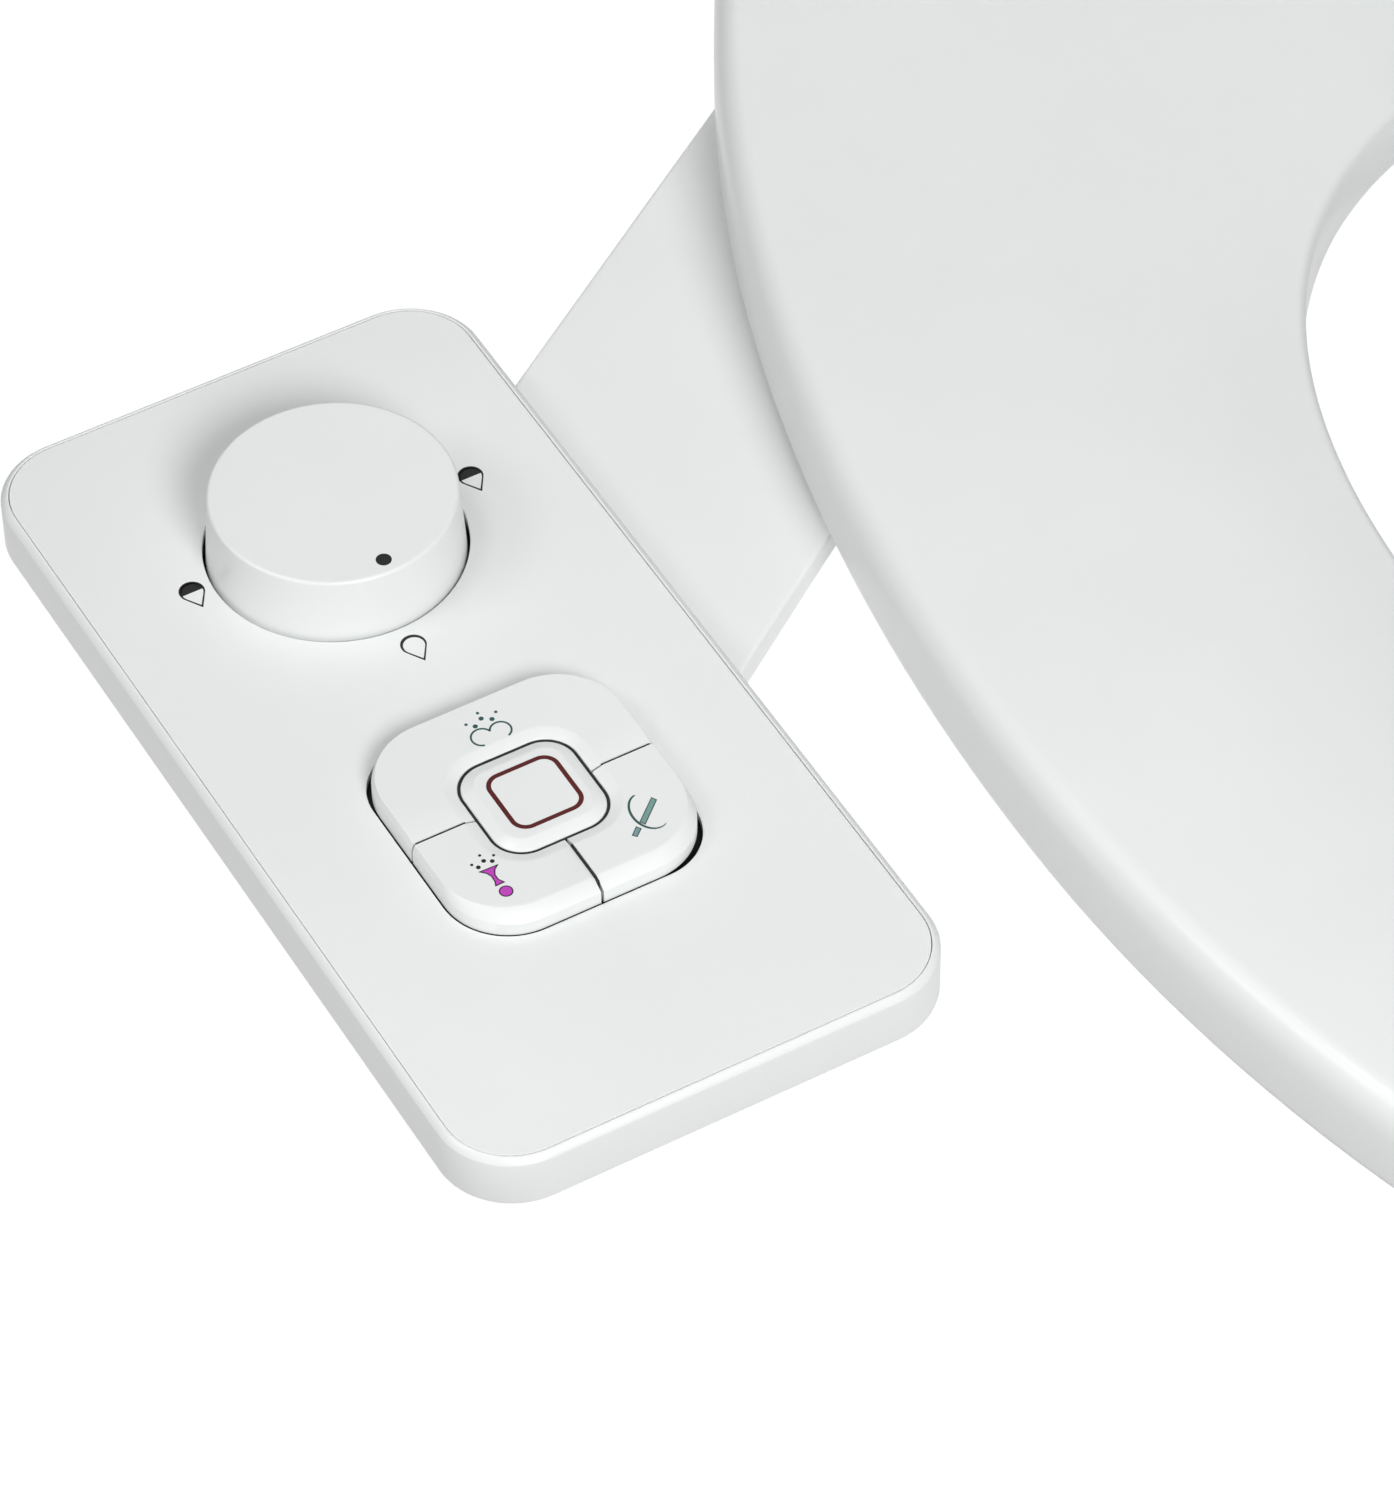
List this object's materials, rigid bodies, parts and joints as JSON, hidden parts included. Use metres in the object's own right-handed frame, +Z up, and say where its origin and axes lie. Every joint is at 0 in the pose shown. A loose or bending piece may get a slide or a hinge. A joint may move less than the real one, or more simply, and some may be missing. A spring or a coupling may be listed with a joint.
{
  "type": "bidet toilet seat",
  "caption": "Toilet seat and lid on a slim bidet attachment, with a slanted arm to a side control panel carrying a round flow knob and a rounded square of push buttons.",
  "frame": {"origin": "underside of the mounting plate, on the centre line and 30 mm in front of the line of the two seat bolts", "axes": "+Z up, -Y towards the front of the seat, -X towards the control panel, which is at the sitter's right hand"},
  "size_m": [0.474, 0.612, 0.5397],
  "materials": {
    "white_gloss": "gloss, slightly cool white",
    "white_satin": "satin white",
    "grey_plastic": "satin grey",
    "black_plastic": "satin black",
    "circuit_board": "green solder mask",
    "steel": "brushed",
    "brass": "machined",
    "rubber": "matt pale grey",
    "tubing": "translucent white"
  },
  "bodies": {
    "frame": {"panel_housing": "white_gloss", "panel_cover": "white_gloss", "arm_cover": "white_gloss", "hinge_base_near": "white_gloss", "hinge_base_far": "white_gloss", "hinge_cap_near": "white_gloss", "hinge_cap_far": "white_gloss", "lower_casing": "white_satin", "mounting_plate": "white_satin", "nozzle_housing": "white_satin", "adjuster_disc_near": "white_satin", "adjuster_disc_far": "white_satin", "wing_nut_near": "white_satin", "wing_nut_far": "white_satin", "flow_valve": "grey_plastic", "valve_manifold": "grey_plastic", "power_socket": "black_plastic", "solenoid_1": "black_plastic", "solenoid_2": "black_plastic", "solenoid_3": "black_plastic", "switch_rear": "black_plastic", "switch_front": "black_plastic", "switch_clean": "black_plastic", "switch_stop": "black_plastic", "button_frame": "black_plastic", "control_board": "circuit_board", "case_screw_outer_front": "steel", "case_screw_outer_rear": "steel", "case_screw_inner_front": "steel", "case_screw_inner_rear": "steel", "guard_pin": "steel", "seat_bolt_near": "steel", "seat_bolt_far": "steel", "hinge_pin_near": "steel", "hinge_pin_far": "steel", "water_inlet": "brass", "bolt_washer_near": "rubber", "bolt_washer_far": "rubber", "tube_rear": "tubing", "tube_front": "tubing"},
    "seat": {"seat_ring": "white_gloss", "seat_bumper_front_near": "rubber", "seat_bumper_front_far": "rubber", "seat_bumper_rear_near": "rubber", "seat_bumper_rear_far": "rubber"},
    "lid": {"lid": "white_gloss", "lid_bumper_near": "rubber", "lid_bumper_far": "rubber"},
    "knob": {"flow_knob": "white_gloss", "valve_spindle": "brass"},
    "rear_wash_button": {"button_rear": "white_gloss"},
    "front_wash_button": {"button_front": "white_gloss"},
    "nozzle_clean_button": {"button_clean": "white_gloss"},
    "stop_button": {"button_stop": "white_gloss"},
    "rear_wash_nozzle": {"nozzle_rear": "white_gloss"},
    "front_wash_nozzle": {"nozzle_front": "white_gloss"},
    "guard": {"nozzle_guard": "white_gloss"}
  },
  "joints": [
    {"name": "seat_hinge", "type": "hinge", "parent": "frame", "child": "seat", "pos_m": [0, 0.047, 0.02], "axis": [-1, 0, 0], "range_deg": [0, 95]},
    {"name": "lid_hinge", "type": "hinge", "parent": "frame", "child": "lid", "pos_m": [0, 0.047, 0.02], "axis": [-1, 0, 0], "range_deg": [-105, 0]},
    {"name": "flow_knob_turn", "type": "hinge", "parent": "frame", "child": "knob", "pos_m": [-0.247, -0.0817, 0.015], "axis": [0, 0, 1], "range_deg": [-90, 90]},
    {"name": "rear_wash_press", "type": "slide", "parent": "frame", "child": "rear_wash_button", "axis": [0, 0, -1], "range_m": [0, 0.0015], "stiffness_N_per_m": 400, "springref_m": -0.001},
    {"name": "front_wash_press", "type": "slide", "parent": "frame", "child": "front_wash_button", "axis": [0, 0, -1], "range_m": [0, 0.0015], "stiffness_N_per_m": 400, "springref_m": -0.001},
    {"name": "nozzle_clean_press", "type": "slide", "parent": "frame", "child": "nozzle_clean_button", "axis": [0, 0, -1], "range_m": [0, 0.0015], "stiffness_N_per_m": 400, "springref_m": -0.001},
    {"name": "stop_press", "type": "slide", "parent": "frame", "child": "stop_button", "axis": [0, 0, -1], "range_m": [0, 0.0015], "stiffness_N_per_m": 400, "springref_m": -0.001},
    {"name": "rear_nozzle_extend", "type": "slide", "parent": "frame", "child": "rear_wash_nozzle", "axis": [0, -0.6691, -0.7431], "range_m": [0, 0.036], "stiffness_N_per_m": 60, "springref_m": -0.01},
    {"name": "front_nozzle_extend", "type": "slide", "parent": "frame", "child": "front_wash_nozzle", "axis": [0, -0.6691, -0.7431], "range_m": [0, 0.036], "stiffness_N_per_m": 60, "springref_m": -0.01},
    {"name": "guard_swing", "type": "hinge", "parent": "frame", "child": "guard", "pos_m": [0, -0.1117, -0.02546], "axis": [-1, 0, 0], "range_deg": [0, 75]}
  ]
}
